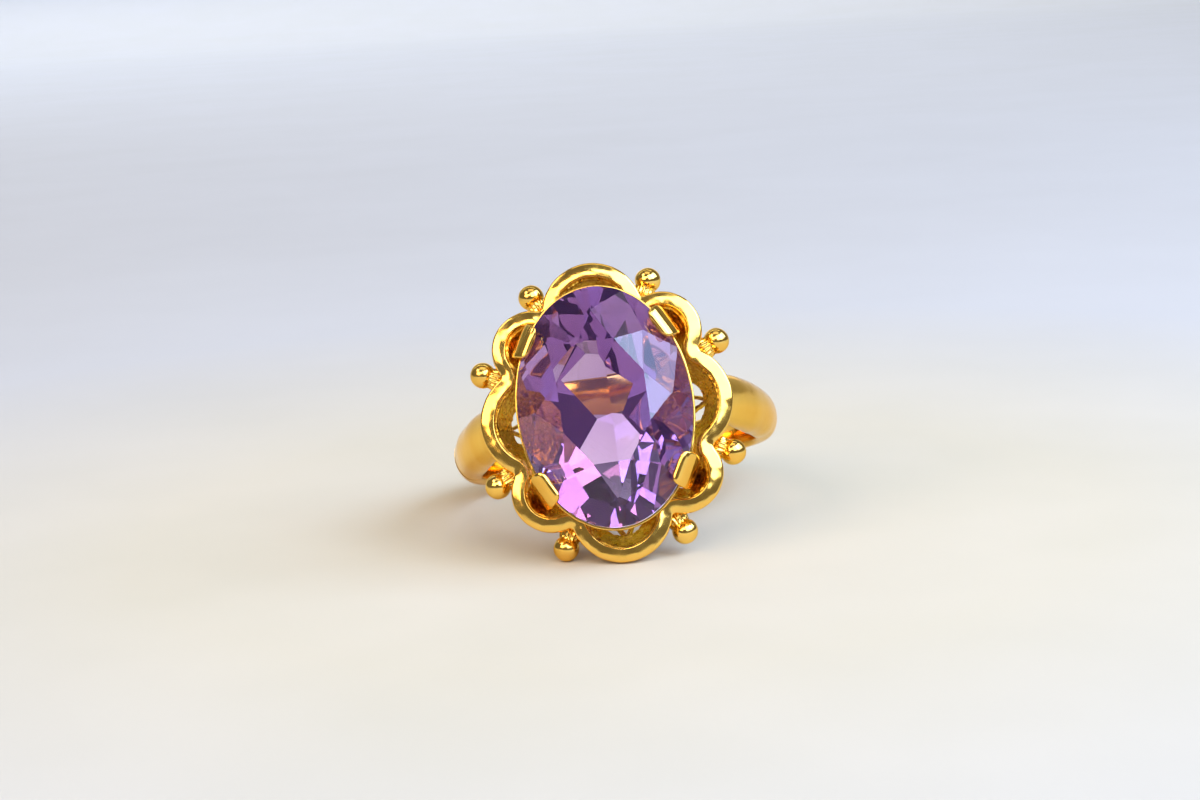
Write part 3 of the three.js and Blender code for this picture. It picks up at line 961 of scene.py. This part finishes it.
def softbox(name, target, direction, distance, size, power, color):
    """Area lamp that faces its target from a direction; its size is in metres, power in watts."""
    lamp = bpy.data.lights.new(name, "AREA")
    lamp.shape = "RECTANGLE"
    lamp.size, lamp.size_y = size
    lamp.energy = power
    lamp.color = color
    box = bpy.data.objects.new(name, lamp)
    bpy.context.scene.collection.objects.link(box)
    box.location, away = aim(target, direction, distance)
    box.rotation_euler = away.to_track_quat("Z", "Y").to_euler()


def make_world():
    """Dim, nearly neutral light from all round."""
    world = bpy.data.worlds.new("studio")
    bpy.context.scene.world = world
    world.use_nodes = True
    background = world.node_tree.nodes["Background"]
    background.inputs["Color"].default_value = (0.88, 0.87, 0.92, 1)
    background.inputs["Strength"].default_value = 0.2


def make_camera():
    """Camera at the photo's angle, rolled as the photo is."""
    data = bpy.data.cameras.new("camera")
    camera = bpy.data.objects.new("camera", data)
    bpy.context.scene.collection.objects.link(camera)
    data.sensor_width = SENSOR_WIDTH
    data.lens = SENSOR_WIDTH * CAMERA_DISTANCE / FRAME_WIDTH
    data.clip_start = 0.01
    _, away = aim(HEAD, CAMERA_DIRECTION, CAMERA_DISTANCE)
    turn = away.to_track_quat("Z", "Y") @ Quaternion((0, 0, 1), CAMERA_ROLL)
    camera.location = HEAD + away * CAMERA_DISTANCE + turn @ CAMERA_SHIFT
    camera.rotation_euler = turn.to_euler()
    bpy.context.scene.camera = camera


make_world()
make_camera()
make_floor()

# Name, target, direction, distance, size, power and colour. The last lamp lights the far floor.
WALL_FOOT = Vector((-0.25, 1.1, 0.15))
softbox("window", HEAD, (36, 41), 0.5, (0.46, 0.36), 3.0, (0.66, 0.78, 1.0))
softbox("sky_right", HEAD, (80, 40), 0.4, (0.34, 0.25), 1.8, (0.42, 0.60, 1.0))
softbox("lamp_left", HEAD, (-41, 30), 0.6, (0.32, 0.24), 1.4, (1.0, 0.81, 0.60))
softbox("fill_left", HEAD, (-13, 38), 0.6, (0.16, 0.13), 0.42, (1.0, 0.86, 0.76))
softbox("high_left", HEAD, (-67, 52), 0.6, (0.20, 0.18), 0.5, (1.0, 0.90, 0.92))
softbox("top", HEAD, (0, 84), 0.9, (0.6, 0.4), 0.8, (1.0, 0.95, 0.90))
softbox("back_glow", HEAD, (182, 8), 1.05, (0.78, 0.19), 0.30, (1.0, 0.93, 0.72))
softbox("backdrop", WALL_FOOT, (-14, 38), 0.8, (1.4, 0.5), 6.4, (0.77, 0.84, 1.0))

make_stone()
make_seat()
make_rim()
make_wall()
make_gallery()
make_rail()
make_claw("gold_claw_upper_right", 1, 1, 10)
make_claw("gold_claw_lower_right", 1, -1, 11)
make_claw("gold_claw_lower_left", -1, -1, 12)
make_claw("gold_claw_upper_left", -1, 1, 13)
for seed, node in enumerate(sorted(n for n in frame["nodes"] if n.startswith("bead_")), 20):
    make_bead(node, seed)
make_band()
make_shoulder("shoulder_right_polished", 1, 31)
make_shoulder("shoulder_left_polished", -1, 32)

bpy.context.scene.view_settings.view_transform = "Standard"
